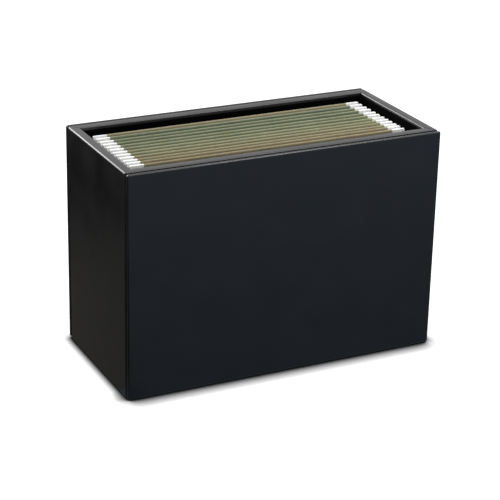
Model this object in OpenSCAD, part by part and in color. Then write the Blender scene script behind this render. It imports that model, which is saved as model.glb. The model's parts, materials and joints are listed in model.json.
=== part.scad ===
// Open file box with six hanging folders.
// The box is built around its folders: their card, drop and hooks set the inside,
// and the leather-covered boards set the outside.
// Origin: middle of the underside. X runs along the folders, Y from front to back, Z up.

/* [Folders] */
// Number of hanging folders
folder_count = 6; // [2:1:8]
// Width of a folder's card
folder_w = 298; // [280:1:330]
// From the top edge of a folder down to its bottom fold
folder_drop = 234; // [200:1:260]
// Distance from one folder to the next along the rails
folder_pitch = 18.5; // [18:0.5:32]
// Distance between the two rods of one folder
folder_gap = 9.2; // [8.6:0.2:11]
// Width of the bottom fold
fold_w = 7; // [5:0.5:8]
// Thickness of the card
card_t = 0.6; // [0.4:0.1:0.8]
// Play between the bottom fold and the front card that turns on it
fold_play = 0.4; // [0.3:0.1:0.6]
// How far the bottom fold lies above the rounds of its creases
fold_rise = 0.1; // [0.05:0.05:0.2]

/* [Hems and tab slits] */
// Height of the folded hem that holds a rod
hem_h = 22; // [18:1:30]
// Height over which the hem closes under its rod
neck_h = 4; // [2:0.5:6]
// How far each end of the hem is cut back
hem_cut = 3; // [2:0.5:6]
// How far the cut runs down from the top edge
hem_cut_h = 12; // [10:1:20]
// Number of tab slits in each card
slit_count = 11; // [3:1:11]
// Length of a tab slit
slit_w = 12; // [8:1:18]
// Height of a tab slit
slit_h = 1.8; // [1:0.1:3]
// From the top edge down to the middle of the tab slits
slit_drop = 15; // [13:0.5:18]
// Distance from one tab slit to the next
slit_pitch = 25; // [20:1:27]

/* [Rods and hooks] */
// Thickness of a steel rod
rod_t = 1.6; // [1.2:0.1:2]
// Height of a steel rod
rod_h = 6.4; // [5:0.2:8]
// How far a rod runs on past its hem, inside the hook
rod_tail = 5; // [3:0.5:6]
// Play around a rod in its hem and hooks
rod_fit = 0.1; // [0.05:0.05:0.2]
// Wall of a hook around its rod
hook_wall = 0.5; // [0.4:0.1:0.8]
// From the side edge of the card out to the tip of a hook
hook_reach = 13; // [11:0.5:18]
// From the tip of a hook to the middle of its notch
notch_in = 6.5; // [5.5:0.5:8]
// Width of the notch that sits on the rail
notch_w = 5; // [4:0.5:6]
// From the straight top of a hook down to the top of its notch
notch_cap = 4; // [3:0.5:5]
// Rounding of a hook's outer corner
hook_r = 1.4; // [0.6:0.1:2]
// How far the tip hangs below the top of the notch
tip_drop = 7; // [5:0.5:9]

/* [Rails] */
// Thickness of the steel strip
rail_t = 1.6; // [1.2:0.1:2]
// Inner radius of the bends in the strip
rail_bend = 1; // [0.6:0.1:1.6]
// Height of the lip that the hooks hang on
lip_h = 12; // [11:0.5:16]
// Height of the flange screwed to the wall
flange_h = 20; // [16:1:30]
// Gap between a rail's end and the lining
rail_end = 3; // [1:0.5:6]
// Gap between the lip and the top of a notch
seat_gap = 0.3; // [0.2:0.1:0.5]

/* [Rail screws] */
// Number of screws in each rail
screw_count = 3; // [2:1:5]
// Diameter of a screw's shank
screw_d = 3; // [2.5:0.1:4]
// Length of a screw's shank
screw_l = 9; // [7:0.5:11]
// Diameter of a screw's head
head_d = 6; // [5:0.2:8]
// Height of a screw's head
head_h = 1.8; // [1.2:0.1:2.4]
// Length of the cross in a screw's head
cross_l = 3.6; // [3:0.1:4]
// Width of each arm of the cross
cross_w = 0.9; // [0.6:0.1:1.2]
// Play around a shank in its hole
screw_fit = 0.1; // [0.05:0.05:0.3]
// From a rail's end to the nearest screw
screw_margin = 15; // [8:1:25]

/* [Boards and leather] */
// Thickness of a wall board with its leather on both faces
wall_t = 11; // [9:0.5:16]
// Thickness of the front and back covers with their leather
cover_t = 6.5; // [5:0.5:10]
// Thickness of the leather
leather_t = 1; // [0.6:0.1:1.2]
// Rounding of the walls' edges
edge_r = 2.4; // [1.3:0.1:3]
// Rounding of the covers' edges
cover_r = 3; // [1.3:0.1:3]
// Rounding of the covers' corners, seen from the front
corner_r = 3.4; // [3:0.1:5]
// How far each wall's leather stops short of its mitres, counted along the wall
mitre_gap = 0.3; // [0.1:0.1:0.5]
// How far the leather turns in behind a cover
turn_in = 20; // [10:1:40]
// Thickness of the base board
base_t = 6; // [4:0.5:9]
// How far the base board is let into the walls
base_rebate = 4.5; // [3:0.5:6]

/* [Lining and base pad] */
// Thickness of the lined cards inside
lining_t = 1.5; // [1:0.1:3]
// Rounding along the linings' top edges
lining_r = 0.6; // [0.3:0.1:0.7]
// From the rim down to the linings' top edges
lining_drop = 3; // [2:0.5:8]
// Thickness of the felt pad underneath
pad_t = 1; // [0.8:0.1:3]
// How far the pad stays in from the outer edges
pad_inset = 1.5; // [1:0.5:8]
// Rounding of the pad's corners
pad_r = 3; // [1:0.5:8]

/* [Room inside] */
// Between the hook tips and the side linings
end_room = 7.5; // [4:0.5:20]
// Between the front lining and the first rod
front_room = 24.2; // [10:0.1:40]
// Between the last rod and the back lining
back_room = 10.1; // [6:0.1:40]
// Between the floor lining and the bottom folds
floor_room = 1; // [0.5:0.5:20]
// From the rim down to the folders' top edges
rim_drop = 6.5; // [4:0.5:20]

/* [Hidden] */
$fn = 48;
// Shift and turn of each folder as it hangs, from front to back
folder_shift = [0, -1.5, -2.1, -1.7, -0.6, 0.9];
folder_turn = [0.05, -0.04, -0.25, -0.1, 0.2, 0.2];
// Card colours from front to back
card_colors = ["#96886f", "#9a9678", "#949a7c", "#8c9877", "#7f8f70", "#7c8e72"];
leather_color = "#1e1f22";
board_color = "#b08c64";
lining_color = "#0c0c0d";
felt_color = "#161617";
rail_color = "#17181a";
steel_color = "#a9adb0";
hook_color = "#f4f5f4";
// Small extra length that cutting shapes have past what they cut
past = 1;

// Hem: a rod lies between two layers of card
hem_in = rod_t + 2 * rod_fit;
hem_r = card_t + hem_in / 2;
rod_top = folder_drop - card_t - rod_fit;
rod_mid = rod_top - rod_h / 2;
crease_c = card_t / 2;
lean = asin((folder_gap / 2 - fold_w / 2 + hem_r) / rod_mid);

// Hooks, measured from the middle of the folder
hook_x0 = folder_w / 2 - hem_cut;
hook_x1 = folder_w / 2 + hook_reach;
notch_x = hook_x1 - notch_in;
hook_t = rod_t + 2 * hook_wall;
hook_top = rod_top + hook_wall;
hook_bottom = rod_top - rod_h - hook_wall;
seat_z = hook_top - notch_cap;
leg_w = notch_in - notch_w / 2;

// Inside and outside of the box
base_top = pad_t + base_t;
fold_z = base_top + lining_t + floor_room;
inner_w = 2 * (hook_x1 + end_room);
inner_d = front_room + (folder_count - 1) * folder_pitch + folder_gap + back_room;
well_w = inner_w + 2 * lining_t;
well_d = inner_d + 2 * lining_t;
box_w = well_w + 2 * wall_t;
frame_d = well_d + 2 * wall_t;
box_d = frame_d + 2 * cover_t;
box_h = fold_z + folder_drop + rim_drop;
first_y = -inner_d / 2 + front_room + folder_gap / 2;

// Rails
lip_x = notch_x;
lip_top = fold_z + seat_z - seat_gap;
ledge_top = lip_top - lip_h;
rail_l = inner_d - 2 * rail_end;
bend_r = rail_t + rail_bend;
screw_z = ledge_top - rail_t - flange_h / 2;
screw_step = (rail_l - 2 * screw_margin) / (screw_count - 1);

BOX_NODES = [
    "base_pad", "base_board", "floor_lining",
    "front_board", "back_board", "left_board", "right_board",
    "front_leather", "back_leather", "left_leather", "right_leather",
    "front_lining", "back_lining", "left_lining", "right_lining",
    "front_cover_board", "front_cover_leather",
    "back_cover_board", "back_cover_leather",
    "left_rail", "right_rail", "left_rail_screws", "right_rail_screws"
];
FOLDER_PIECES = ["front_card", "front_rod", "front_hooks", "back_card", "back_rod", "back_hooks"];

function pick(list, k) = list[(k - 1) % len(list)];
function folder_y(k) = first_y + (k - 1) * folder_pitch + pick(folder_shift, k);

// Flat shapes

module rounded_rect(w, h, r) {
    square([w - 2 * r, h], center = true);
    square([w, h - 2 * r], center = true);
    for (sx = [-1, 1])
        for (sy = [-1, 1])
            translate([sx * (w / 2 - r), sy * (h / 2 - r)])
                circle(r);
}

module stadium(w, h) {
    square([w, h - w], center = true);
    for (s = [-1, 1])
        translate([0, s * (h - w) / 2])
            circle(d = w);
}

// A slab from v0 to v1 and z0 to z1 with both top corners rounded
module top_rounded(v0, v1, z0, z1, r) {
    translate([v0, z0])
        square([v1 - v0, z1 - z0 - r]);
    translate([v0 + r, z0])
        square([v1 - v0 - 2 * r, z1 - z0]);
    for (v = [v0 + r, v1 - r])
        translate([v, z1 - r])
            circle(r);
}

module quarter_bend() {
    difference() {
        intersection() {
            circle(bend_r);
            square(bend_r);
        }
        circle(rail_bend);
    }
}

// Ways to extrude: a section in Y and Z along X, or an outline in X and Z along Y

module along_x(length) {
    rotate([90, 0, 90])
        linear_extrude(length, center = true)
            children();
}

module along_y(length) {
    rotate([90, 0, 0])
        linear_extrude(length, center = true)
            children();
}

// Places: each wall is drawn along X with its outer face at y = 0 and moved to its side

module at_wall(side) {
    if (side == "front") translate([0, -frame_d / 2, 0]) children();
    if (side == "back") translate([0, frame_d / 2, 0]) rotate([0, 0, 180]) children();
    if (side == "left") translate([-box_w / 2, 0, 0]) rotate([0, 0, -90]) children();
    if (side == "right") translate([box_w / 2, 0, 0]) rotate([0, 0, 90]) children();
}

module at_cover(side) {
    if (side == "front") translate([0, -box_d / 2, 0]) children();
    if (side == "back") translate([0, box_d / 2, 0]) rotate([0, 0, 180]) children();
}

// Pieces on the right stay, pieces on the left are mirrored
module on_side(side) {
    mirror([side == "left" ? 1 : 0, 0, 0])
        children();
}

module at_folder(k) {
    translate([0, folder_y(k), fold_z])
        rotate([0, 0, pick(folder_turn, k)])
            children();
}

// Turns a card out by the lean of its folder, about the crease at its bottom edge
module leaning() {
    translate([0, crease_c, crease_c])
        rotate([lean, 0, 0])
            translate([0, -crease_c, -crease_c])
                children();
}

// The front half keeps its place, the back half is mirrored onto the other side
module at_half(half) {
    mirror([0, half == "back" ? 1 : 0, 0])
        translate([0, -fold_w / 2, 0])
            children();
}

// Wall boards

function wall_len(side) = (side == "front" || side == "back") ? box_w : frame_d;

// Both ends are cut at 45 degrees, so that four walls meet in mitres
module mitred(len) {
    linear_extrude(box_h + past)
        polygon([
            [-len / 2, 0], [len / 2, 0],
            [len / 2 - wall_t, wall_t], [-len / 2 + wall_t, wall_t]
        ]);
}

module screw_row() {
    for (i = [0:screw_count - 1])
        translate([inner_w / 2, -rail_l / 2 + screw_margin + i * screw_step, screw_z])
            rotate([0, 90, 0])
                children();
}

// Holes along the rail screws, as deep as the shanks reach behind the flange
module screw_holes() {
    screw_row()
        translate([0, 0, -rail_t - past])
            cylinder(h = screw_l + past, d = screw_d + 2 * screw_fit);
}

module board(side) {
    len = wall_len(side);
    color(board_color)
    difference() {
        at_wall(side)
            intersection() {
                along_x(len)
                    top_rounded(leather_t, wall_t - leather_t, pad_t, box_h - leather_t, edge_r - leather_t);
                mitred(len);
            }
        translate([0, 0, base_top / 2])
            cube([
                box_w - 2 * (wall_t - leather_t - base_rebate),
                frame_d - 2 * (wall_t - leather_t - base_rebate),
                base_top
            ], center = true);
        if (side == "left" || side == "right")
            on_side(side) screw_holes();
    }
}

// Leather on the outer face, over the rim and down the inner face to the base board
module wall_leather(side) {
    len = wall_len(side);
    color(leather_color)
    intersection() {
        difference() {
            at_wall(side)
                difference() {
                    intersection() {
                        along_x(len)
                            top_rounded(0, wall_t, pad_t, box_h, edge_r);
                        mitred(len - 2 * mitre_gap);
                    }
                    along_x(len + past)
                        top_rounded(leather_t, wall_t - leather_t, 0, box_h - leather_t, edge_r - leather_t);
                    translate([-len / 2, wall_t / 2, 0])
                        cube([len, wall_t, base_top]);
                }
            if (side == "left" || side == "right")
                on_side(side) screw_holes();
        }
        linear_extrude(box_h + past)
            rounded_rect(box_w, frame_d, edge_r);
    }
}

// Front and back covers

// A board with all its edges rounded, drawn smaller all round by the inset
module cover_block(inset) {
    w = box_w - 2 * inset;
    h = box_h - pad_t - 2 * inset;
    t = cover_t - 2 * inset;
    translate([0, cover_t / 2, (box_h + pad_t) / 2])
        intersection() {
            along_x(w) rounded_rect(t, h, cover_r - inset);
            along_y(t) rounded_rect(w, h, corner_r - inset);
            linear_extrude(h, center = true) rounded_rect(w, t, cover_r - inset);
        }
}

module cover_board(side) {
    color(board_color)
    at_cover(side)
        cover_block(leather_t);
}

// The leather wraps all edges and leaves the middle of the hidden face bare
module cover_leather(side) {
    color(leather_color)
    at_cover(side)
        difference() {
            cover_block(0);
            cover_block(leather_t);
            translate([0, cover_t, (box_h + pad_t) / 2])
                cube([box_w - 2 * turn_in, 2 * leather_t, box_h - pad_t - 2 * turn_in], center = true);
        }
}

// Base, pad and linings

module base_board() {
    color(board_color)
    translate([0, 0, pad_t + base_t / 2])
        cube([
            box_w - 2 * (wall_t - leather_t - base_rebate),
            frame_d - 2 * (wall_t - leather_t - base_rebate),
            base_t
        ], center = true);
}

module base_pad() {
    color(felt_color)
    linear_extrude(pad_t)
        rounded_rect(box_w - 2 * pad_inset, box_d - 2 * pad_inset, pad_r);
}

module floor_lining() {
    color(lining_color)
    translate([0, 0, base_top + lining_t / 2])
        cube([well_w, well_d, lining_t], center = true);
}

// Front and back linings run the full width, and the side linings stand between them
module wall_lining(side) {
    len = (side == "front" || side == "back") ? well_w : inner_d;
    color(lining_color)
    difference() {
        at_wall(side)
            along_x(len)
                top_rounded(wall_t, wall_t + lining_t, base_top + lining_t, box_h - lining_drop, lining_r);
        if (side == "left" || side == "right")
            on_side(side) screw_holes();
    }
}

// Rails: a flange on the wall, a ledge that reaches inward and a lip for the hooks

// Drawn with x from the middle of the box outward, so the flange is on the right
module rail_section() {
    wall_x = inner_w / 2;
    in_x = lip_x - rail_t / 2;
    translate([wall_x - rail_t, ledge_top - rail_t - flange_h])
        square([rail_t, flange_h + rail_t - bend_r]);
    translate([wall_x - bend_r, ledge_top - bend_r])
        quarter_bend();
    translate([in_x + bend_r, ledge_top - rail_t])
        square([wall_x - in_x - 2 * bend_r, rail_t]);
    translate([in_x + bend_r, ledge_top - rail_t + bend_r])
        rotate(180) quarter_bend();
    translate([in_x, ledge_top - rail_t + bend_r])
        square([rail_t, lip_h + rail_t - bend_r - rail_t / 2]);
    translate([lip_x, lip_top - rail_t / 2])
        circle(d = rail_t);
}

module rail(side) {
    color(rail_color)
    on_side(side)
        difference() {
            along_y(rail_l) rail_section();
            screw_holes();
        }
}

module rail_screws(side) {
    color(steel_color)
    on_side(side)
        screw_row()
            translate([0, 0, -rail_t])
                difference() {
                    union() {
                        translate([0, 0, -head_h])
                            cylinder(h = head_h, d = head_d);
                        cylinder(h = screw_l, d = screw_d);
                    }
                    for (a = [0, 90])
                        rotate(a)
                            translate([0, 0, -head_h])
                                cube([cross_l, cross_w, head_h], center = true);
                }
}

// Folders

// The flat bottom fold, which belongs to the back half: level once the card leans
module bottom_fold() {
    translate([crease_c, crease_c])
        rotate(-lean)
            translate([0, fold_rise - crease_c])
                square([fold_w - crease_c - card_t - fold_play, card_t]);
}

// Section of one card in Y and Z: outer face at y = 0, hem folded over to the inside
module card_section(half) {
    arc_z = folder_drop - hem_r;
    neck_z = rod_top - rod_h;
    if (half == "back")
        bottom_fold();
    difference() {
        union() {
            translate([crease_c, crease_c])
                circle(crease_c);
            polygon([
                [0, crease_c], [card_t, crease_c], [card_t, folder_drop - hem_h],
                [2 * card_t, folder_drop - hem_h], [2 * card_t, neck_z - neck_h],
                [2 * hem_r, neck_z], [2 * hem_r, arc_z], [0, arc_z]
            ]);
            translate([hem_r, arc_z])
                circle(hem_r);
        }
        polygon([
            [card_t, neck_z - neck_h], [card_t + hem_in, neck_z],
            [card_t + hem_in, arc_z], [card_t, arc_z]
        ]);
        translate([hem_r, arc_z])
            circle(hem_in / 2);
    }
}

// Outline of one card in X and Z, with the hem's ends cut back
module card_outline() {
    x0 = folder_w / 2;
    x1 = hook_x0;
    z1 = folder_drop + past;
    z2 = folder_drop - hem_cut_h;
    polygon([
        [-x0, -past], [x0, -past], [x0, z2 - hem_cut], [x1, z2], [x1, z1],
        [-x1, z1], [-x1, z2], [-x0, z2 - hem_cut]
    ]);
}

module tab_slits() {
    for (i = [0:slit_count - 1])
        translate([(i - (slit_count - 1) / 2) * slit_pitch, hem_r, folder_drop - slit_drop])
            cube([slit_w, 4 * hem_r, slit_h], center = true);
}

module card(k, half) {
    color(pick(card_colors, k))
    at_folder(k) at_half(half) leaning()
        difference() {
            intersection() {
                along_x(folder_w) card_section(half);
                along_y(4 * fold_w) card_outline();
            }
            tab_slits();
        }
}

module rod_solid(extra) {
    along_x(2 * (hook_x0 + rod_tail + extra))
        translate([hem_r, rod_mid])
            stadium(rod_t + 2 * extra, rod_h + 2 * extra);
}

module rod(k, half) {
    color(steel_color)
    at_folder(k) at_half(half) leaning()
        rod_solid(0);
}

// Outline of a hook in X and Z: a sleeve on the rod, the notch and a round tip beyond it
module hook_outline() {
    notch_x0 = notch_x - notch_w / 2;
    leg_x = hook_x1 - leg_w;
    tip_z = seat_z - tip_drop + leg_w / 2;
    polygon([
        [hook_x0, hook_bottom], [notch_x0, hook_bottom], [notch_x0, seat_z], [leg_x, seat_z],
        [leg_x, tip_z], [hook_x1, tip_z], [hook_x1, hook_top - hook_r],
        [hook_x1 - hook_r, hook_top], [hook_x0, hook_top]
    ]);
    translate([hook_x1 - hook_r, hook_top - hook_r])
        circle(hook_r);
    translate([hook_x1 - leg_w / 2, tip_z])
        circle(d = leg_w);
}

module hooks(k, half) {
    color(hook_color)
    at_folder(k) at_half(half) leaning()
        difference() {
            translate([0, hem_r, 0])
                along_y(hook_t) {
                    hook_outline();
                    mirror([1, 0]) hook_outline();
                }
            rod_solid(rod_fit);
        }
}

// Drawing: one line for each piece

base_pad();
base_board();
floor_lining();
for (s = ["front", "back", "left", "right"]) {
    board(s);
    wall_leather(s);
    wall_lining(s);
}
for (s = ["front", "back"]) {
    cover_board(s);
    cover_leather(s);
}
for (s = ["left", "right"]) {
    rail(s);
    rail_screws(s);
}
for (k = [1:folder_count])
    for (h = ["front", "back"]) {
        card(k, h);
        rod(k, h);
        hooks(k, h);
    }
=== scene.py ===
# %% [markdown]
# An open file box of leather-covered boards, with six hanging folders in it.
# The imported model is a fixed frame: it already has every piece in its place, in metres.
# This lesson gives each piece its finish. It also remakes the leather, the folders' card and
# the hooks as smooth surfaces, because solids made of flat faces show them too stiffly.

import json
import math

import bpy
import numpy as np
from mathutils import Matrix, Vector


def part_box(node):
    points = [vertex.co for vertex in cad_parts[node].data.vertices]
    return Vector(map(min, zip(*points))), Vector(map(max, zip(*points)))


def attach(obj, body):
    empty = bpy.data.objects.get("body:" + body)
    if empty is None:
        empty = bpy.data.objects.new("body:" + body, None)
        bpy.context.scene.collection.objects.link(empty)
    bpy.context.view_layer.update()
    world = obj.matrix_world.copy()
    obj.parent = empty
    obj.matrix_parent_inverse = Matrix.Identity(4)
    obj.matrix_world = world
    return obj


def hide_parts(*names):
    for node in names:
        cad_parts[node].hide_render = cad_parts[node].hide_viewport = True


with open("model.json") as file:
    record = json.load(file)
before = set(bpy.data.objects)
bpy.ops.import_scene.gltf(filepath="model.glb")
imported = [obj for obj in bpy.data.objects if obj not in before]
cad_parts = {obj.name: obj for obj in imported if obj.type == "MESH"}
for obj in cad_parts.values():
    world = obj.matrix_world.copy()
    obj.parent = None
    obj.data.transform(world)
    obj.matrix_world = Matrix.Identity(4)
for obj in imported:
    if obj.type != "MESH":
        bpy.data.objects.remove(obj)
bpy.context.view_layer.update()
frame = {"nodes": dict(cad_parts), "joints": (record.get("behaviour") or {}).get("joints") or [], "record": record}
cad_nodes = frame["nodes"]
MM = 0.001

# %% [markdown]
# The camera stands in front of the box, to its left and above it. Its place comes from the
# straight edges of the box in the photograph: where the edges that are parallel on the box
# run together gives the turn and the tilt, and their lengths give the distance. The lens is
# long, so the box's sides stay nearly parallel. It could be placed by eye instead, which takes
# longer and fits less well.

# %% Camera
CAMERA_PLACE = (-0.8002, -1.5996, 0.8386)
CAMERA_YAW = math.radians(-26.55)
CAMERA_PITCH = math.radians(22.20)
CAMERA_ROLL = math.radians(1.32)
PHOTO_SIZE = 500
FOCAL_PIXELS = 1750.3
SENSOR = 36.0

camera_data = bpy.data.cameras.new("camera")
camera_data.sensor_width = SENSOR
camera_data.lens = FOCAL_PIXELS / PHOTO_SIZE * SENSOR
camera = bpy.data.objects.new("camera", camera_data)
bpy.context.scene.collection.objects.link(camera)
camera.matrix_world = (
    Matrix.Translation(CAMERA_PLACE)
    @ Matrix.Rotation(CAMERA_YAW, 4, "Z")
    @ Matrix.Rotation(math.pi / 2 - CAMERA_PITCH, 4, "X")
    @ Matrix.Rotation(CAMERA_ROLL, 4, "Z")
)
bpy.context.scene.camera = camera
print("lens:", round(camera_data.lens, 2), "mm")

# %% [markdown]
# A few small helpers serve every material. Colours are written as they look on a screen, in
# hex, and a shader wants them linear, so one function turns them. Another adds a node to a
# material with its settings, and links or sets its inputs. The colour mixing node has inputs
# of several types under one name, so its sockets are reached by number. A function for each
# kind of node would be shorter to call, but would hide Blender's own names.

# %% Colour and node helpers
MIX_SHARE = 0
FLOAT_FIRST = 2
FLOAT_SECOND = 3
MIX_FIRST = 6
MIX_SECOND = 7
MIXED = 2


def linear(hex_colour):
    """RGBA for a shader: each channel c of the hex colour, 0 to 1, becomes ((c + 0.055) / 1.055) ** 2.4."""
    c = np.array([int(hex_colour[i:i + 2], 16) for i in (1, 3, 5)]) / 255
    return (*np.where(c <= 0.04045, c / 12.92, ((c + 0.055) / 1.055) ** 2.4).tolist(), 1.0)


def add(tree, kind, inputs=None, **settings):
    """Adds a node of that kind: settings are its own fields, inputs are values or sockets that feed it."""
    made = tree.nodes.new(kind)
    for name, value in settings.items():
        setattr(made, name, value)
    for name, value in (inputs or {}).items():
        if isinstance(value, bpy.types.NodeSocket):
            tree.links.new(value, made.inputs[name])
        else:
            made.inputs[name].default_value = value
    return made


def new_material(name):
    """An empty material with its node tree and the output node."""
    material = bpy.data.materials.new(name)
    material.use_nodes = True
    tree = material.node_tree
    tree.nodes.clear()
    return material, tree, add(tree, "ShaderNodeOutputMaterial")


def per_mm(size):
    """A texture's scale for a pattern of that size in millimetres: its coordinates are in metres."""
    return 1 / (size * MM)


def dress(ending, material):
    """Gives the material to every CAD node whose name ends that way, and prints which."""
    dressed = [name for name in cad_nodes if name.endswith(ending)]
    for name in dressed:
        cad_nodes[name].data.materials.clear()
        cad_nodes[name].data.materials.append(material)
    print(material.name, "on", len(dressed), "nodes:", ", ".join(dressed))


print("grey #808080 in linear light:", round(linear("#808080")[0], 3))

# %% [markdown]
# A product like this is photographed on white paper, under soft lamps. The floor is pale, and
# what the camera and the reflections see of it is lifted to plain white. Stronger lamps could
# whiten it too, but they would bleach the folders. Close to the box a painted shade darkens the
# floor's white and its colour softly, where an occlusion node finds it hemmed in. That painted
# shade reaches further out in front of the box than beside it.

# %% Floor
FLOOR_SIDE = 12.0
FLOOR_DROP = 0.0003
FRONT_REACH = (-0.10, 0.025)
SIDE_REACH = (-0.06, 0.011)
AT_A_WALL = 0.5
PAINTED_CONTACT_SHADE = 0.02
CONTACT_CURVE = 1.3
CONTACT_SAMPLES = 16


def flat_sheet(name, side, z):
    """A square at height z, about the origin: corner (i, j) is at (i - 0.5, j - 0.5) times its side."""
    ij = np.array([[0, 0], [1, 0], [1, 1], [0, 1]]) - 0.5
    corners = np.column_stack([ij * side, np.full(4, z)])
    mesh = bpy.data.meshes.new(name)
    mesh.from_pydata(corners.tolist(), [], [(0, 1, 2, 3)])
    sheet = bpy.data.objects.new(name, mesh)
    bpy.context.scene.collection.objects.link(sheet)
    return sheet


def seen_directly(tree):
    """A socket: 1 for rays from the camera, a reflection or a clear piece, 0 for light on matt surfaces."""
    rays = add(tree, "ShaderNodeLightPath")
    seen = add(tree, "ShaderNodeMath", {
        0: rays.outputs["Is Camera Ray"], 1: rays.outputs["Is Glossy Ray"]}, operation="MAXIMUM")
    seen = add(tree, "ShaderNodeMath", {
        0: seen.outputs[0], 1: rays.outputs["Is Transmission Ray"]}, operation="MAXIMUM")
    return seen.outputs[0]


floor = flat_sheet("floor", FLOOR_SIDE, -FLOOR_DROP)
paper_white, tree, out = new_material("paper_white_painted_contact_shade")
place = add(tree, "ShaderNodeSeparateXYZ", {"Vector": add(tree, "ShaderNodeTexCoord").outputs["Object"]})
reach = add(tree, "ShaderNodeMapRange", {
    "Value": place.outputs["Y"], "From Min": FRONT_REACH[0], "From Max": SIDE_REACH[0],
    "To Min": FRONT_REACH[1], "To Max": SIDE_REACH[1]})
# Painted contact shade: this occlusion dims the floor's white glow and darkens its colour near the box.
openness = add(tree, "ShaderNodeAmbientOcclusion", {"Distance": reach.outputs[0]}, samples=CONTACT_SAMPLES)
near_box = add(tree, "ShaderNodeMapRange", {
    "Value": openness.outputs["AO"], "From Min": AT_A_WALL, "From Max": 1.0,
    "To Min": PAINTED_CONTACT_SHADE, "To Max": 1.0})
shade = add(tree, "ShaderNodeMath", {0: near_box.outputs[0], 1: CONTACT_CURVE}, operation="POWER")
glow = add(tree, "ShaderNodeMath", {0: shade.outputs[0], 1: seen_directly(tree)}, operation="MULTIPLY")
lift = add(tree, "ShaderNodeEmission", {"Color": linear("#ffffff"), "Strength": glow.outputs[0]})
pale = add(tree, "ShaderNodeMix", {
    MIX_SHARE: shade.outputs[0], MIX_FIRST: linear("#000000"), MIX_SECOND: linear("#8f8f8f")},
    data_type="RGBA")
matt = add(tree, "ShaderNodeBsdfDiffuse", {"Color": pale.outputs[MIXED]})
both = add(tree, "ShaderNodeAddShader", {0: matt.outputs[0], 1: lift.outputs[0]})
tree.links.new(both.outputs[0], out.inputs["Surface"])
floor.data.materials.append(paper_white)
print("floor:", FLOOR_SIDE, "m")

# %% [markdown]
# The gloss of a dark box shows the paper that it stands on, so photographers lay dark cards
# round it, just outside what the lens takes in. Here one card, seen only by reflections, glows
# with a graded light of its own and so paints reflections on the leather. Its glow is lighter
# far in front of the box, which lifts the upper part of the front cover, and lighter close
# behind it, which lifts the lower part of the left end. At the front left it is black, which
# paints a dark reflection down the box's nearest upright edge. Its light is bluish in front and
# warm behind. The leather itself could be painted in such tones, but they would turn with it.

# %% Reflection card
REFLECTOR_SIDE = 7.0
FRONT_NEAR = (-0.15, 0.36)
FRONT_FAR = (-0.80, 0.62)
FRONT_DARK = (-0.27, 0.0)
FRONT_LIT = (-0.13, 1.0)
BACK_NEAR = (0.20, 0.118)
BACK_FAR = (0.66, 0.0)
FRONT_END = -0.06

reflection_card = flat_sheet("reflection_card", REFLECTOR_SIDE, FLOOR_DROP / 2)
reflection_card.visible_camera = False
reflection_card.visible_diffuse = False
reflection_card.visible_shadow = False
reflection_card.visible_transmission = False
grey_card, tree, out = new_material("card_glow_painted_reflections")
place = add(tree, "ShaderNodeSeparateXYZ", {"Vector": add(tree, "ShaderNodeTexCoord").outputs["Object"]})
levels = [
    add(tree, "ShaderNodeMapRange", {
        "Value": place.outputs[axis], "From Min": first[0], "From Max": last[0],
        "To Min": first[1], "To Max": last[1]}, interpolation_type="SMOOTHSTEP").outputs[0]
    for axis, first, last in (
        ("Y", FRONT_FAR, FRONT_NEAR), ("X", FRONT_DARK, FRONT_LIT), ("Y", BACK_NEAR, BACK_FAR))]
ahead = add(tree, "ShaderNodeMath", {0: levels[0], 1: levels[1]}, operation="MULTIPLY")
is_behind = add(tree, "ShaderNodeMath", {0: place.outputs["Y"], 1: FRONT_END}, operation="GREATER_THAN")
level = add(tree, "ShaderNodeMix", {
    MIX_SHARE: is_behind.outputs[0], FLOAT_FIRST: ahead.outputs[0], FLOAT_SECOND: levels[2]},
    data_type="FLOAT")
cast = add(tree, "ShaderNodeMix", {
    MIX_SHARE: is_behind.outputs[0], MIX_FIRST: linear("#c9e2f8"), MIX_SECOND: linear("#fffaf0")},
    data_type="RGBA")
# Painted reflections: the leather mirrors this glow, which comes from no lamp.
grey = add(tree, "ShaderNodeEmission", {"Color": cast.outputs[MIXED], "Strength": level.outputs[0]})
tree.links.new(grey.outputs[0], out.inputs["Surface"])
reflection_card.data.materials.append(grey_card)
print("reflection card:", REFLECTOR_SIDE, "m")

# %% [markdown]
# Behind everything is plain white paper. It lights the box from all sides only weakly, so that
# the gaps between the folders stay dark, but the camera and the leather's gloss see it white:
# the tops of the rims mirror it. One plain colour could do both only at the same level. The
# picture keeps the plain screen colours that the materials are written in.

# %% World
SKY_SEEN = 1.0
SKY_LIGHT = 0.32

world = bpy.data.worlds.new("studio")
bpy.context.scene.world = world
world.use_nodes = True
tree = world.node_tree
tree.nodes.clear()
level = add(tree, "ShaderNodeMapRange", {
    "Value": seen_directly(tree), "To Min": SKY_LIGHT, "To Max": SKY_SEEN})
sky = add(tree, "ShaderNodeBackground", {"Color": linear("#ffffff"), "Strength": level.outputs[0]})
tree.links.new(sky.outputs[0], add(tree, "ShaderNodeOutputWorld").inputs["Surface"])
bpy.context.scene.view_settings.view_transform = "Standard"
print("sky:", SKY_SEEN, "as seen and", SKY_LIGHT, "as light")

# %% [markdown]
# Three soft lamps. The small, strong one overhead is the folders' main light, and draws the
# fine line along the front cover's top edge. A low one behind, to the left, draws the bright
# lines on the left and right rims. The large one in front, to the right, is weak and only
# softens the shades between the folders. One bare bulb could light all this, but with hard
# shadows. Each lamp is given by the radiance of its face, because that is what a rounded edge
# mirrors: power is radiance times pi times the face's area.

# %% Lamps
AIM = (0, 0, 0.22)


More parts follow.
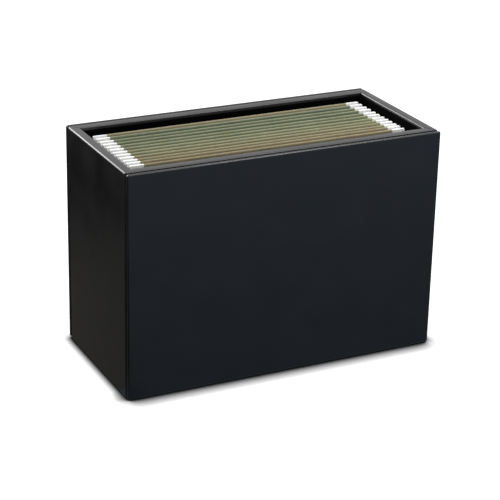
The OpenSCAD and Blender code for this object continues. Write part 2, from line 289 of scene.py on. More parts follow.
def softbox(name, direction, distance, side, radiance):
    """A square lamp facing the box: its direction, distance and side in metres, and its face's radiance."""
    data = bpy.data.lights.new(name, "AREA")
    data.shape = "SQUARE"
    data.size = side
    data.energy = radiance * math.pi * side ** 2
    lamp = bpy.data.objects.new(name, data)
    bpy.context.scene.collection.objects.link(lamp)
    lamp.visible_camera = False
    back = Vector(direction).normalized()
    place = Vector(AIM) + back * distance
    lamp.matrix_world = Matrix.Translation(place) @ (-back).to_track_quat("-Z", "Y").to_matrix().to_4x4()
    print(name, "at", tuple(round(v, 2) for v in place), "with", round(data.energy, 1), "W")


softbox("front_softbox", (0.30, -0.80, 0.50), distance=2.6, side=1.7, radiance=0.45)
softbox("overhead_softbox", (0.42, -0.32, 0.85), distance=1.5, side=0.5, radiance=25.0)
softbox("rim_softbox", (-0.317, 0.846, 0.423), distance=1.6, side=0.9, radiance=10.0)

# %% [markdown]
# The covers are smooth bonded leather: ground leather and binder pressed into a sheet, with
# a thin coat of polyurethane that gives it an even satin gloss. Its grain is embossed, and
# the sheet lies glued on the board, so it also waves very slightly over tens of millimetres.
# A picture of leather could be wrapped round each piece. Noise in the piece's own coordinates
# keeps the grain at its real size everywhere, and leaves no joins.

# %% Bonded leather
GRAIN = 1.3
RIPPLE = 38.0

leather, tree, out = new_material("bonded_leather_black_embossed")
place = add(tree, "ShaderNodeTexCoord").outputs["Object"]
pebbles = add(tree, "ShaderNodeTexVoronoi", {"Vector": place, "Scale": per_mm(GRAIN)}, feature="SMOOTH_F1")
ripples = add(tree, "ShaderNodeTexNoise", {"Vector": place, "Scale": per_mm(RIPPLE), "Detail": 2.0})
soft_bump = add(tree, "ShaderNodeBump", {
    "Strength": 0.35, "Distance": 0.6 * MM, "Height": ripples.outputs["Fac"]})
fine_bump = add(tree, "ShaderNodeBump", {
    "Strength": 0.12, "Distance": 0.12 * MM, "Height": pebbles.outputs["Distance"],
    "Normal": soft_bump.outputs["Normal"]})
gloss = add(tree, "ShaderNodeMapRange", {
    "Value": ripples.outputs["Fac"], "From Min": 0.3, "From Max": 0.7, "To Min": 0.31, "To Max": 0.39})
skin = add(tree, "ShaderNodeBsdfPrincipled", {
    "Base Color": linear("#090a0c"), "Roughness": gloss.outputs[0], "IOR": 1.45,
    "Normal": fine_bump.outputs["Normal"]})
tree.links.new(skin.outputs[0], out.inputs["Surface"])
print(leather.name, "with a grain of", GRAIN, "mm")

# %% [markdown]
# Some pieces need softer or finer edges than the solids have. A new mesh then takes the place
# of a solid: it hides the node, rides on the node's body and takes the material it is given.
# The solid could be smoothed with modifiers instead, but its edges would still lie where the
# flat faces meet.

# %% Where pieces go
SHARP_ANGLE = math.radians(50)
record = frame["record"]
body_of = {node: body for body, nodes in record["behaviour"]["bodies"].items() for node in nodes}
joints = {joint["name"]: joint for joint in frame["joints"]}


def stand_in(node, points, faces, inside_out, material):
    """A smooth mesh piece of these points and faces, instead of the node.

    Its edges are sharp where two faces meet steeply, and where a sheet ends. inside_out turns its faces.
    """
    faces = [face[::-1] for face in faces] if inside_out else faces
    mesh = bpy.data.meshes.new(node + "_shaped")
    mesh.from_pydata(points.tolist(), [], faces)
    mesh.polygons.foreach_set("use_smooth", np.ones(len(mesh.polygons), dtype=bool))
    mesh.set_sharp_from_angle(angle=SHARP_ANGLE)
    sharp = np.zeros(len(mesh.edges), dtype=bool)
    mesh.edges.foreach_get("use_edge_sharp", sharp)
    edge_of_loop = np.zeros(len(mesh.loops), dtype=np.int32)
    mesh.loops.foreach_get("edge_index", edge_of_loop)
    open_edge = np.bincount(edge_of_loop, minlength=len(mesh.edges)) == 1
    mesh.edges.foreach_set("use_edge_sharp", sharp | open_edge)
    piece = bpy.data.objects.new(node + "_shaped", mesh)
    bpy.context.scene.collection.objects.link(piece)
    mesh.materials.append(material)
    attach(piece, body_of[node])
    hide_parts(node)
    return piece


def moved(points, matrix):
    """Every row of points, times the matrix."""
    matrix = np.array(matrix)
    return points @ matrix[:3, :3].T + matrix[:3, 3]


def strips(rings, around):
    """Quads between neighbouring closed rings of points, numbered ring by ring."""
    corner = np.arange(rings * around).reshape(rings, around)
    after = np.roll(corner, -1, axis=1)
    return np.stack([corner[:-1], after[:-1], after[1:], corner[1:]], axis=-1).reshape(-1, 4).tolist()


print("bodies:", len(set(body_of.values())), "joints:", len(joints))

# %% [markdown]
# The leather on a wall is one sheet: up the outer face, over the rim and down the inner face.
# Its two faces are two lines of the same number of points, and the loop that they make is
# carried along the wall. At the ends it stops at the mitre, where X is half the length less
# the way in from the outer face. There the sheet's edge sinks in a little, which draws the
# seam that runs over each corner of the rim. A bevelled box could show a rim too, but here
# each edge gets its own rounding: wide where it catches a lamp, narrow beside the groove.

# %% Leather on the walls
LEATHER = 1.0 * MM
SIDE_ROUND = 1.9 * MM
GROOVE_ROUND = 0.35 * MM
INNER_ROUND = 1.7 * MM
FAR_ROUND = 0.6 * MM
CORNER_ROUND = 1.6 * MM
SEAM_WIDTH = 0.45 * MM
SEAM_DEPTH = 0.22 * MM
END_REACH = 1.0 * MM
LEAST_ROUND = 0.1 * MM


def rim_line(thick, foot, top, outer_round, inner_round, steps=6):
    """From the outer foot up, over the rim and down: lines and two quarter circles (R cos a, R sin a)."""
    a = np.linspace(np.pi, np.pi / 2, steps)
    near = np.column_stack([outer_round * (1 + np.cos(a)), top - outer_round * (1 - np.sin(a))])
    a = np.linspace(np.pi / 2, 0, steps)
    far = np.column_stack([thick - inner_round * (1 - np.cos(a)), top - inner_round * (1 - np.sin(a))])
    return np.concatenate([[[0, foot[0]]], near, far, [[thick, foot[1]]]])


def wall_surface(length, thick, foot, top, outer_round, inner_round, steps=7):
    """Points and faces of a wall's leather, with X along the wall and Y inward from its outer face.

    The loop of (v, z) is carried along X to half the length less v. Nearer to the corner than its
    rounding c, the end turns along an arc of radius c - v, up to the mitre at 45 degrees. The seam
    sinks by d exp(-(s / w)^2), with s the distance to the mitre.
    """
    skin = rim_line(thick, foot, top, outer_round, inner_round)
    back_rounds = [max(r - LEATHER, LEAST_ROUND) for r in (outer_round, inner_round)]
    back = rim_line(thick - 2 * LEATHER, foot, top - LEATHER, *back_rounds) + [LEATHER, 0]
    loop = np.concatenate([skin, back[::-1]])
    along = np.gradient(skin, axis=0)
    out = np.column_stack([-along[:, 1], along[:, 0]]) / np.linalg.norm(along, axis=1, keepdims=True)
    out = np.concatenate([out, np.zeros_like(back)])
    share = np.linspace(0, 1, steps)[:, None]
    v = loop[None, :, 0]
    arc = np.clip(CORNER_ROUND - v, 0, None)
    turn = share * np.pi / 4
    x = length / 2 - np.maximum(v, CORNER_ROUND) - END_REACH * (1 - share) + arc * np.sin(turn)
    y = np.where(arc > 0, CORNER_ROUND - arc * np.cos(turn), v + 0 * turn)
    sunk = SEAM_DEPTH * np.exp(-((1 - share) * END_REACH / SEAM_WIDTH) ** 2)
    end = np.stack([x, y - sunk * out[None, :, 0], loop[None, :, 1] - sunk * out[None, :, 1]], axis=-1)
    points = np.concatenate([end[::-1] * [-1, 1, 1], end])
    rings, around = points.shape[:2]
    first = np.arange(len(skin) - 1)
    cap = np.stack([first, first + 1, around - 2 - first, around - 1 - first], axis=-1)
    caps = cap.tolist() + (cap[:, ::-1] + (rings - 1) * around).tolist()
    return points.reshape(-1, 3), strips(rings, around) + caps


walls = {side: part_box(side + "_leather") for side in ("front", "right", "back", "left")}
outer_x = walls["right"][1].x
outer_y = walls["back"][1].y
foot = (walls["front"][0].z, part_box("floor_lining")[0].z)
WALL_ROUNDS = {
    "front": (GROOVE_ROUND, INNER_ROUND), "right": (SIDE_ROUND, INNER_ROUND),
    "back": (GROOVE_ROUND, FAR_ROUND), "left": (SIDE_ROUND, INNER_ROUND)}
for quarters, (side, (low, high)) in enumerate(walls.items()):
    if side in ("front", "back"):
        reach, out_by, thick = outer_x, outer_y, (high - low).y
    else:
        reach, out_by, thick = outer_y, outer_x, (high - low).x
    points, faces = wall_surface(2 * reach, thick, foot, high.z, *WALL_ROUNDS[side])
    place = Matrix.Rotation(quarters * math.pi / 2, 4, "Z") @ Matrix.Translation((0, -out_by, 0))
    stand_in(side + "_leather", moved(points, place), faces, True, leather)
    print(side, "leather:", len(points), "points, length", round(2 * reach / MM, 2), "mm")

# %% [markdown]
# The covers are thinner boards glued on the front and the back. The leather wraps them, turns
# in behind and rounds their edges: sharply towards the face, and in a longer curve towards the
# wall, which leaves a dark groove between cover and wall. The surface is a stack of outlines,
# each the cover's rounded rectangle drawn in further, from the face over the edge to behind.
# A bevel modifier rounds edges too, but not with another curve on each side.

# %% Leather on the covers
FACE_ROUND = 1.5 * MM
GROOVE_DEPTH = 4.2 * MM
COVER_CORNER = 2.4 * MM
TURN_IN = 20 * MM
INNER_CORNER = 0.2 * MM
FACE_MARGIN = 1.4 * FACE_ROUND


def outline(width, height, inset, steps=6):
    """A rounded rectangle in X and Z, drawn in by inset: arcs (r cos a, r sin a) about four centres."""
    r = max(COVER_CORNER - inset, INNER_CORNER)
    quadrant = np.arange(4)[:, None]
    a = quadrant * np.pi / 2 + np.linspace(0, np.pi / 2, steps)[None]
    sign_x = np.where((quadrant == 0) | (quadrant == 3), 1, -1)
    sign_z = np.where(quadrant < 2, 1, -1)
    x = sign_x * (width / 2 - inset - r) + r * np.cos(a)
    z = sign_z * (height / 2 - inset - r) + r * np.sin(a)
    return np.column_stack([x.ravel(), z.ravel()])


def cover_surface(width, height, thick, steps=7):
    """Points and faces of a cover's leather, with Y from its face inward and X and Z from its middle.

    Ring by ring the inset and the depth follow a quarter circle of the face's rounding, then a quarter
    ellipse as deep as the groove, then the flat turn-in. One flat face closes the front.
    """
    b = np.linspace(0, np.pi / 2, steps)
    over = np.column_stack([FACE_ROUND * (1 - np.sin(b)), FACE_ROUND * (1 - np.cos(b))])
    behind = np.column_stack([
        GROOVE_DEPTH * (1 - np.cos(b)), FACE_ROUND + (thick - FACE_ROUND) * np.sin(b)])[1:]
    profile = np.concatenate([[[FACE_MARGIN, 0]], over, behind, [[TURN_IN, thick]]])
    rings = np.stack([outline(width, height, inset) for inset in profile[:, 0]])
    y = np.broadcast_to(profile[:, 1, None], rings.shape[:2])
    points = np.stack([rings[..., 0], y, rings[..., 1]], axis=-1)
    around = points.shape[1]
    return points.reshape(-1, 3), strips(len(profile), around) + [list(range(around))[::-1]]


for side, degrees in (("front", 0), ("back", 180)):
    low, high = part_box(side + "_cover_leather")
    size, middle = high - low, (high + low) / 2
    points, faces = cover_surface(size.x, size.z, size.y)
    shift = Matrix.Translation((0, -abs(middle.y) - size.y / 2, middle.z))
    place = Matrix.Rotation(math.radians(degrees), 4, "Z") @ shift
    piece = stand_in(side + "_cover_leather", moved(points, place), faces, True, leather)
    thickness = piece.modifiers.new("leather thickness", "SOLIDIFY")
    thickness.thickness = LEATHER
    thickness.offset = -1
    print(side, "cover:", len(points), "points,", tuple(round(v / MM, 2) for v in size), "mm")

# %% [markdown]
# The inside is lined with thin board covered in black flock: short fibres that stand in glue
# and swallow light. The pad under the box is pressed felt, whose longer fibres lie every way.
# Hair could be grown on both, but from this far only its colour and its lack of gloss are
# seen, so both are rough surfaces with bumps.

# %% Flock and felt
flock, tree, out = new_material("flock_black_short_pile")
place = add(tree, "ShaderNodeTexCoord").outputs["Object"]
pile = add(tree, "ShaderNodeTexNoise", {"Vector": place, "Scale": per_mm(0.5), "Detail": 3.0})
shade = add(tree, "ShaderNodeMix", {
    MIX_SHARE: pile.outputs["Fac"], MIX_FIRST: linear("#010101"), MIX_SECOND: linear("#060607")},
    data_type="RGBA")
tufts = add(tree, "ShaderNodeBump", {"Strength": 0.6, "Distance": 0.2 * MM, "Height": pile.outputs["Fac"]})
skin = add(tree, "ShaderNodeBsdfPrincipled", {
    "Base Color": shade.outputs[MIXED], "Roughness": 1.0, "Specular IOR Level": 0.03,
    "Normal": tufts.outputs["Normal"]})
tree.links.new(skin.outputs[0], out.inputs["Surface"])
dress("_lining", flock)

felt, tree, out = new_material("felt_black_pressed")
place = add(tree, "ShaderNodeTexCoord").outputs["Object"]
fibres = add(tree, "ShaderNodeTexNoise", {
    "Vector": place, "Scale": per_mm(1.4), "Detail": 5.0, "Roughness": 0.7, "Distortion": 1.6})
shade = add(tree, "ShaderNodeMix", {
    MIX_SHARE: fibres.outputs["Fac"], MIX_FIRST: linear("#0b0b0c"), MIX_SECOND: linear("#2a2a2c")},
    data_type="RGBA")
nap = add(tree, "ShaderNodeBump", {"Strength": 0.7, "Distance": 0.3 * MM, "Height": fibres.outputs["Fac"]})
skin = add(tree, "ShaderNodeBsdfPrincipled", {
    "Base Color": shade.outputs[MIXED], "Roughness": 0.95, "Specular IOR Level": 0.2,
    "Normal": nap.outputs["Normal"]})
tree.links.new(skin.outputs[0], out.inputs["Surface"])
dress("base_pad", felt)

# %% [markdown]
# The boards under the leather are medium fibreboard: wood fibres pressed with resin, brown and
# even, with darker specks. The box hides them, but they are seen when it is taken apart. A
# picture of board would show where it repeats, so two noises are multiplied: fine and broad.

# %% Fibreboard
fibreboard, tree, out = new_material("fibreboard_sanded")
place = add(tree, "ShaderNodeTexCoord").outputs["Object"]
fibres = add(tree, "ShaderNodeTexNoise", {
    "Vector": place, "Scale": per_mm(1.1), "Detail": 6.0, "Roughness": 0.75})
clouds = add(tree, "ShaderNodeTexNoise", {"Vector": place, "Scale": per_mm(24), "Detail": 2.0})
blend = add(tree, "ShaderNodeMath", {
    0: fibres.outputs["Fac"], 1: clouds.outputs["Fac"]}, operation="MULTIPLY")
reach = add(tree, "ShaderNodeMapRange", {"Value": blend.outputs[0], "From Min": 0.12, "From Max": 0.42})
shade = add(tree, "ShaderNodeMix", {
    MIX_SHARE: reach.outputs[0], MIX_FIRST: linear("#8f6d48"), MIX_SECOND: linear("#bf9a6e")},
    data_type="RGBA")
nap = add(tree, "ShaderNodeBump", {"Strength": 0.3, "Distance": 0.1 * MM, "Height": fibres.outputs["Fac"]})
skin = add(tree, "ShaderNodeBsdfPrincipled", {
    "Base Color": shade.outputs[MIXED], "Roughness": 0.85, "Normal": nap.outputs["Normal"]})
tree.links.new(skin.outputs[0], out.inputs["Surface"])
dress("_board", fibreboard)

# %% [markdown]
# The rails are bent steel strip with a black powder coat: dry paint that melts in an oven and
# keeps the fine dimples of an orange's peel. The rods and screws are steel with a thin coat of
# zinc, silver with a cool and a warm cast from the bath that seals the zinc. Plain colours
# would do from far away. Uneven bumps and gloss keep them metal close by.

# %% Powder coat and zinc
powder_coat, tree, out = new_material("steel_black_powder_coated")
place = add(tree, "ShaderNodeTexCoord").outputs["Object"]
peel = add(tree, "ShaderNodeTexNoise", {"Vector": place, "Scale": per_mm(0.9), "Detail": 2.0})
dimples = add(tree, "ShaderNodeBump", {
    "Strength": 0.35, "Distance": 0.12 * MM, "Height": peel.outputs["Fac"]})
skin = add(tree, "ShaderNodeBsdfPrincipled", {
    "Base Color": linear("#141517"), "Roughness": 0.42, "IOR": 1.5, "Normal": dimples.outputs["Normal"]})
tree.links.new(skin.outputs[0], out.inputs["Surface"])
dress("_rail", powder_coat)

zinc, tree, out = new_material("steel_zinc_plated")
place = add(tree, "ShaderNodeTexCoord").outputs["Object"]
casts = add(tree, "ShaderNodeTexNoise", {"Vector": place, "Scale": per_mm(6), "Detail": 3.0})
shade = add(tree, "ShaderNodeMix", {
    MIX_SHARE: casts.outputs["Fac"], MIX_FIRST: linear("#a9b3bd"), MIX_SECOND: linear("#c9c3b2")},
    data_type="RGBA")
gloss = add(tree, "ShaderNodeMapRange", {"Value": casts.outputs["Fac"], "To Min": 0.24, "To Max": 0.42})
skin = add(tree, "ShaderNodeBsdfPrincipled", {
    "Base Color": shade.outputs[MIXED], "Metallic": 1.0, "Roughness": gloss.outputs[0]})
tree.links.new(skin.outputs[0], out.inputs["Surface"])
dress("_rod", zinc)
dress("_screws", zinc)

# %% [markdown]
# The folders are cut from dyed card of recycled fibres, green when new, and bleached towards
# straw where light reached them. Each is folded round a flat steel rod at the top of both its
# halves, and twice at the bottom.
#
# Both halves of a folder are drawn once, in a frame of their own: X along the card, Y from the
# card's outer face inward, Z up from the bottom fold. Each folder's hinge gives the place and
# the turn, and the distance between its two rods gives the lean, because the rods stand
# further apart than the bottom fold is wide. Each half could be given its own numbers, but
# the card would then stay behind when the model changes.

# %% Folder sizes and places
folders = range(1, 1 + sum(name.endswith("_open") for name in joints))
halves = ("front", "back")
CARD = 0.6 * MM
CREASE = CARD / 2
CARD_WIDTH = 298 * MM
CARD_DROP = 234 * MM
FOLD_WIDTH = 7 * MM
HEM_RADIUS = 1.5 * MM


def folder_matrix(number, half):
    """From a half's own frame to the box: lean about the crease, shift, mirror, turn and place.

    The shift is half the fold's width. The lean's sine is the rod's way out from the crease over its
    height above the fold.
    """
    hinge = joints[f"folder_{number}_open"]
    along = Vector(hinge["axis"]).normalized()
    across = Vector((-along.y, along.x, 0))
    middle = Vector(hinge["pos_m"]) + across * (FOLD_WIDTH / 2 - CREASE) - Vector((0, 0, CREASE))
    rods = [sum(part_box(f"folder_{number}_{side}_rod"), Vector()) / 2 for side in halves]
    way_out = (rods[1] - rods[0]).length / 2 - FOLD_WIDTH / 2 + HEM_RADIUS
    lean = math.asin(way_out / (rods[0].z - middle.z))
    crease = Matrix.Translation((0, CREASE, CREASE))
    turn = Matrix((along, across, (0, 0, 1))).transposed().to_4x4()
    mirror = Matrix.Diagonal((1, 1 if half == "front" else -1, 1, 1))
    shift = Matrix.Translation((0, -FOLD_WIDTH / 2, 0))
    placed = Matrix.Translation(middle) @ turn @ mirror @ shift
    return placed @ crease @ Matrix.Rotation(lean, 4, "X") @ crease.inverted()


print("folder 1 stands at", tuple(round(v, 4) for v in folder_matrix(1, "front").translation))

# %% [markdown]
# The card is one sheet, so its surface is a profile carried along X: up the outer face, round
# the rod in a half circle and down again to the hem's lower edge, with the bottom fold first
# on the back half. A Solidify modifier then gives the sheet its thickness, which also closes
# the edges of the slits for the index tabs. Below the hem the card waves a little, as card
# does that has hung for a while. A cloth simulation could bend it too, but might push it
# through the rods.

# %% Card surface
ROD_HEIGHT = 6.4 * MM
ROD_TOP = CARD_DROP - 0.7 * MM
NECK = 4 * MM
HEM_HEIGHT = 22 * MM
HEM_CUT = 3 * MM
HEM_CUT_DROP = 12 * MM
SLITS = 11
SLIT_PITCH = 25 * MM
SLIT_WIDTH = 12 * MM
SLIT_HEIGHT = 1.8 * MM
SLIT_DROP = 15 * MM
FOLD_BEND = 0.7 * MM
FOLD_GAP = 0.4 * MM
WAVE = 0.45 * MM
LONG_WAVE = 34 * MM
SHORT_WAVE = 15 * MM
SHORT_SHARE = 0.5
WEAR_REACH = 1.6 * MM
SIDE_WEAR = 0.7
INNER_LAYER = 1.5 * CARD
NEAR_END = 0.96
slit_low = CARD_DROP - SLIT_DROP - SLIT_HEIGHT / 2
slit_high = slit_low + SLIT_HEIGHT
hem_low = CARD_DROP - HEM_HEIGHT
arc_height = CARD_DROP - HEM_RADIUS


def card_profile(half):
    """Y and Z of the card's middle line, row by row.

    The outer face is a straight line, the hem's top a half circle round the rod, (R + r cos a, z + r
    sin a), and the bottom fold's bend a quarter circle.
    """
    r = HEM_RADIUS - CARD / 2
    foot = CREASE + FOLD_BEND
    up = np.concatenate([
        np.linspace(foot if half == "back" else CREASE, hem_low, 16),
        [slit_low, slit_high, ROD_TOP - ROD_HEIGHT, ROD_TOP - ROD_HEIGHT / 2]])
    outer = np.column_stack([np.full(len(up), CREASE), up])
    a = np.linspace(np.pi, 0, 11)
    over = np.column_stack([HEM_RADIUS + r * np.cos(a), arc_height + r * np.sin(a)])
    neck = ROD_TOP - ROD_HEIGHT
    down = np.array([
        [2 * HEM_RADIUS - CARD / 2, neck], [INNER_LAYER, neck - NECK], [INNER_LAYER, slit_high],
        [INNER_LAYER, slit_low], [INNER_LAYER, hem_low]])
    rows = [outer, over, down]
    if half == "back":
        a = np.linspace(-np.pi / 2, -np.pi, 6)[:-1]
        bend = np.column_stack([CREASE + FOLD_BEND * (1 + np.cos(a)), foot + FOLD_BEND * np.sin(a)])
        end = FOLD_WIDTH - CARD - FOLD_GAP
        flat = np.column_stack([np.linspace(end, CREASE + FOLD_BEND, 5)[:-1], np.full(4, CREASE)])
        rows = [flat, bend] + rows
    return np.concatenate(rows)


def card_columns():
    """X of the columns: the slits' edges and middles, the middles between slits, and two at each end."""
    middles = (np.arange(SLITS) - (SLITS - 1) / 2) * SLIT_PITCH
    ends = np.array([-1.0, -NEAR_END]) * CARD_WIDTH / 2
    return np.sort(np.concatenate([
        ends, -ends, middles, middles - SLIT_WIDTH / 2, middles + SLIT_WIDTH / 2,
        middles[:-1] + SLIT_PITCH / 2]))


def card_surface(half, seed):
    """Points, faces and wear of one half's card.

    A point is (x, y + wave, z), and the wave is two sines along X that fade to nothing at the fold and
    at the hem. The sheet's end column follows the outline, which is cut back beside the hem. A face in
    a slit is left out. The wear is exp(-(s / w)^2), with s the distance to the sheet's top or side edge.
    """
    profile = card_profile(half)
    x, z = np.meshgrid(card_columns(), profile[:, 1])
    y = np.repeat(profile[:, :1], x.shape[1], axis=1)
    cut = np.clip((z - (CARD_DROP - HEM_CUT_DROP - HEM_CUT)) / HEM_CUT, 0, 1) * HEM_CUT
    at_end = np.isclose(np.abs(x), CARD_WIDTH / 2)
    x = np.where(at_end, np.sign(x) * (CARD_WIDTH / 2 - cut), x)
    shifts = np.random.default_rng(seed).uniform(0, 2 * np.pi, 2)
    free = np.sin(np.pi * np.clip(z / hem_low, 0, 1)) ** 2
    waves = np.sin(x / LONG_WAVE + shifts[0]) + SHORT_SHARE * np.sin(x / SHORT_WAVE + shifts[1])
    y = y + WAVE * free * waves
    on_top = np.exp(-((CARD_DROP - z) / WEAR_REACH) ** 2)
    at_side = np.exp(-((CARD_WIDTH / 2 - cut - np.abs(x)) / WEAR_REACH) ** 2)
    rows, columns = x.shape
    corner = np.arange(rows * columns).reshape(rows, columns)
    quads = np.stack([corner[:-1, :-1], corner[:-1, 1:], corner[1:, 1:], corner[1:, :-1]], axis=-1)
    middle_x = (x[:-1, :-1] + x[:-1, 1:]) / 2
    middle_z = (z[:-1, :-1] + z[1:, :-1]) / 2
    from_slit = np.abs((middle_x / SLIT_PITCH + 0.5) % 1 - 0.5) * SLIT_PITCH
    in_slit = (from_slit < SLIT_WIDTH / 2) & (middle_z > slit_low) & (middle_z < slit_high)
    in_slit &= np.abs(middle_x) < SLITS / 2 * SLIT_PITCH
    points = np.stack([x, y, z], axis=-1).reshape(-1, 3)
    return points, quads[~in_slit].tolist(), np.maximum(on_top, SIDE_WEAR * at_side).ravel()


for half in halves:
    print(half, "card:", len(card_profile(half)), "rows,", len(card_columns()), "columns")

# %% [markdown]
# Uncoated card is matt, with short fibres in every shade of its dye. The fibres lie mostly
# along the sheet, as the paper machine pulled them. At the folds the dye has cracked and rubbed,
# so the wear that the surface carries as an attribute lightens them. A map of the wear could be
# painted by hand, but the surface already knows how far each point is from its edges.

# %% Card finish
CARD_FIBRE = 1.5
CARD_CLOUD = 28.0
CARD_TONES = (
    ("#6e6243", "#837a5c"), ("#6f6d4b", "#848261"), ("#6a7252", "#7c8667"),
    ("#576749", "#697a5e"), ("#495e45", "#596f55"), ("#465c47", "#576e58"))
STRAW_TONES = ("#716a4e", "#848064")


def card_finish(name, tones):
    """Uncoated card between two tones of its dye, with fibres, clouds and lighter, rubbed folds."""
    card, tree, out = new_material(name)
    place = add(tree, "ShaderNodeTexCoord").outputs["Object"]
    pulled = add(tree, "ShaderNodeMapping", {"Vector": place, "Scale": (0.3, 1.0, 1.0)})
    fibres = add(tree, "ShaderNodeTexNoise", {
        "Vector": pulled.outputs[0], "Scale": per_mm(CARD_FIBRE), "Detail": 6.0, "Roughness": 0.72})
    clouds = add(tree, "ShaderNodeTexNoise", {"Vector": place, "Scale": per_mm(CARD_CLOUD), "Detail": 3.0})
    both = add(tree, "ShaderNodeMath", {
        0: fibres.outputs["Fac"], 1: clouds.outputs["Fac"]}, operation="ADD")
    share = add(tree, "ShaderNodeMapRange", {"Value": both.outputs[0], "From Min": 0.7, "From Max": 1.3})
    dyed = add(tree, "ShaderNodeMix", {
        MIX_SHARE: share.outputs[0], MIX_FIRST: linear(tones[0]), MIX_SECOND: linear(tones[1])},
        data_type="RGBA")
    wear = add(tree, "ShaderNodeAttribute", attribute_name="fold_wear").outputs["Fac"]
    rubbed = add(tree, "ShaderNodeMath", {0: wear, 1: fibres.outputs["Fac"]}, operation="MULTIPLY")
    shade = add(tree, "ShaderNodeMix", {
        MIX_SHARE: rubbed.outputs[0], MIX_FIRST: dyed.outputs[MIXED], MIX_SECOND: linear("#a89f86")},
        data_type="RGBA")
    nap = add(tree, "ShaderNodeBump", {
        "Strength": 0.4, "Distance": 0.08 * MM, "Height": fibres.outputs["Fac"]})
    skin = add(tree, "ShaderNodeBsdfPrincipled", {
        "Base Color": shade.outputs[MIXED], "Roughness": 0.9, "Specular IOR Level": 0.3,
        "Normal": nap.outputs["Normal"]})
    tree.links.new(skin.outputs[0], out.inputs["Surface"])
    return card


# %% [markdown]
# Every half of a folder now gets its sheet. A seed of its own gives each one other waves, and
# the same ones at every run. The tones go from straw on the front folder to green on the last
# one, whose back half has faded too. One folder could be copied six times, but then all would
# wave alike.

# %% Cards
for number in folders:
    finish = card_finish(f"card_{number}_uncoated_recycled", CARD_TONES[(number - 1) % len(CARD_TONES)])
    for half in halves:
        faded = half == "back" and number == folders[-1]
        points, faces, wear = card_surface(half, seed=10 * number + halves.index(half))
        matrix = folder_matrix(number, half)
        sheet = stand_in(
            f"folder_{number}_{half}_card", moved(points, matrix), faces, matrix.determinant() < 0,
            card_finish("card_faded_uncoated_recycled", STRAW_TONES) if faded else finish)
        sheet.data.attributes.new("fold_wear", "FLOAT", "POINT").data.foreach_set("value", wear)
        thickness = sheet.modifiers.new("card thickness", "SOLIDIFY")
        thickness.thickness = CARD
        thickness.offset = 0
print("cards:", 2 * len(folders), "of", len(faces), "faces")

# %% [markdown]
# The hooks are moulded nylon, pressed on the ends of the rods: a flat sleeve, a notch that
# sits on the rail and a round tip beyond it. Every corner is rounded, as a mould needs. The
# outline is a loop of corners, each rounded by a short curve, and the thickness is a stack of
# the same loop, drawn in a little towards both faces. A bevel modifier gives all corners one
# rounding, and these need several.

# %% Hook shape
HOOK_START = CARD_WIDTH / 2 - HEM_CUT
HOOK_END = CARD_WIDTH / 2 + 13 * MM
HOOK_TOP = ROD_TOP + 0.5 * MM
HOOK_LOW = ROD_TOP - ROD_HEIGHT - 0.5 * MM
NOTCH_TOP = HOOK_TOP - 4 * MM
NOTCH_START = HOOK_END - 9 * MM
NOTCH_END = HOOK_END - 4 * MM
TIP_LOW = NOTCH_TOP - 7 * MM
HOOK_THICK = 2.6 * MM
HOOK_SOFT = 0.45 * MM
FACE_RING = 1.7
HOOK_CORNERS = np.array([
    [HOOK_START, HOOK_LOW], [NOTCH_START, HOOK_LOW], [NOTCH_START, NOTCH_TOP], [NOTCH_END, NOTCH_TOP],
    [NOTCH_END, TIP_LOW], [HOOK_END, TIP_LOW], [HOOK_END, HOOK_TOP], [HOOK_START, HOOK_TOP]])
HOOK_ROUNDS = np.array([0.5, 0.9, 0.7, 0.7, 1.9, 1.9, 1.7, 0.6]) * MM


def rounded_loop(corners, rounds, steps=7):
    """A closed loop with each corner C replaced by the curve (1 - t)^2 A + 2 t (1 - t) C + t^2 B.

    A and B lie on the two sides that meet in C, at that corner's rounding from it.
    """
    to_last = np.roll(corners, 1, axis=0) - corners
    to_next = np.roll(corners, -1, axis=0) - corners
    a = corners + to_last / np.linalg.norm(to_last, axis=1, keepdims=True) * rounds[:, None]
    b = corners + to_next / np.linalg.norm(to_next, axis=1, keepdims=True) * rounds[:, None]
    t = np.linspace(0, 1, steps)[None, :, None]
    curves = (1 - t) ** 2 * a[:, None] + 2 * t * (1 - t) * corners[:, None] + t ** 2 * b[:, None]
    return curves.reshape(-1, 2)


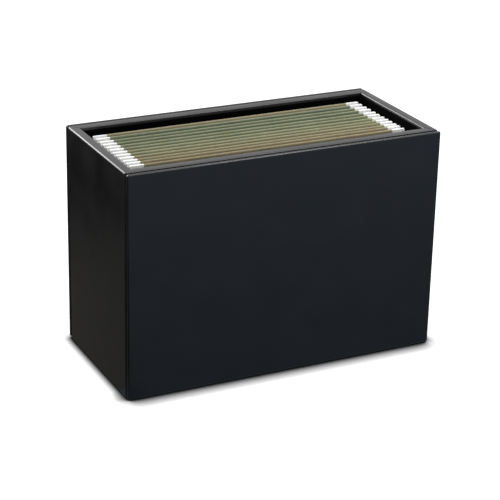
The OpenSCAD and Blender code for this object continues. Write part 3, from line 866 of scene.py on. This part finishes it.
def soft_plate(loop, middle, thick, soft, steps=5):
    """Points and faces of a plate of that outline in X and Z, whose edges are quarter rounds.

    Ring i is the loop drawn in by soft (1 - cos a) along its normals, at Y = the middle plus or minus
    (thick / 2 - soft + soft sin a). A last ring on each face is drawn in once more, and closed by one
    flat face.
    """
    along = np.roll(loop, -1, axis=0) - np.roll(loop, 1, axis=0)
    inward = np.column_stack([-along[:, 1], along[:, 0]]) / np.linalg.norm(along, axis=1, keepdims=True)
    a = np.linspace(0, np.pi / 2, steps)
    drawn_in = np.append(soft * (1 - np.cos(a)), soft * FACE_RING)
    height = np.append(thick / 2 - soft + soft * np.sin(a), thick / 2)
    drawn_in = np.concatenate([drawn_in[::-1], drawn_in])
    height = np.concatenate([-height[::-1], height])
    flat = loop[None] + inward[None] * drawn_in[:, None, None]
    y = np.broadcast_to(middle + height[:, None], flat.shape[:2])
    points = np.stack([flat[..., 0], y, flat[..., 1]], axis=-1)
    rings, around = points.shape[:2]
    caps = [list(range(around))[::-1], list(range((rings - 1) * around, rings * around))]
    return points.reshape(-1, 3), strips(rings, around) + caps


hook_loop = rounded_loop(HOOK_CORNERS, HOOK_ROUNDS)
hook_points, hook_faces = soft_plate(hook_loop, HEM_RADIUS, HOOK_THICK, HOOK_SOFT)
print("one hook:", len(hook_points), "points,", len(hook_faces), "faces")

# %% [markdown]
# Nylon is naturally a milky white, slightly see-through at its edges, and comes from a
# polished mould with a soft gloss. The finest unevenness is where it shrank while it cooled.
# Light that wanders inside it could be worked out too. Here a gloss over white is enough.
# The second hook of a rod is the first one mirrored, so its faces are turned round.

# %% Hooks
nylon, tree, out = new_material("nylon_white_moulded")
place = add(tree, "ShaderNodeTexCoord").outputs["Object"]
shrink = add(tree, "ShaderNodeTexNoise", {"Vector": place, "Scale": per_mm(3.5), "Detail": 2.0})
shade = add(tree, "ShaderNodeMix", {
    MIX_SHARE: shrink.outputs["Fac"], MIX_FIRST: linear("#f6f7f7"), MIX_SECOND: linear("#fdfdfb")},
    data_type="RGBA")
dents = add(tree, "ShaderNodeBump", {
    "Strength": 0.25, "Distance": 0.15 * MM, "Height": shrink.outputs["Fac"]})
skin = add(tree, "ShaderNodeBsdfPrincipled", {
    "Base Color": shade.outputs[MIXED], "Roughness": 0.34, "IOR": 1.53, "Normal": dents.outputs["Normal"]})
tree.links.new(skin.outputs[0], out.inputs["Surface"])

for number in folders:
    for half in halves:
        matrix = folder_matrix(number, half)
        other_end = Matrix.Diagonal((-1, 1, 1, 1))
        pair = np.concatenate([moved(hook_points, matrix), moved(hook_points, matrix @ other_end)])
        turned = [[len(hook_points) + corner for corner in face[::-1]] for face in hook_faces]
        stand_in(f"folder_{number}_{half}_hooks", pair, hook_faces + turned, matrix.determinant() > 0, nylon)
print("hooks:", 4 * len(folders))
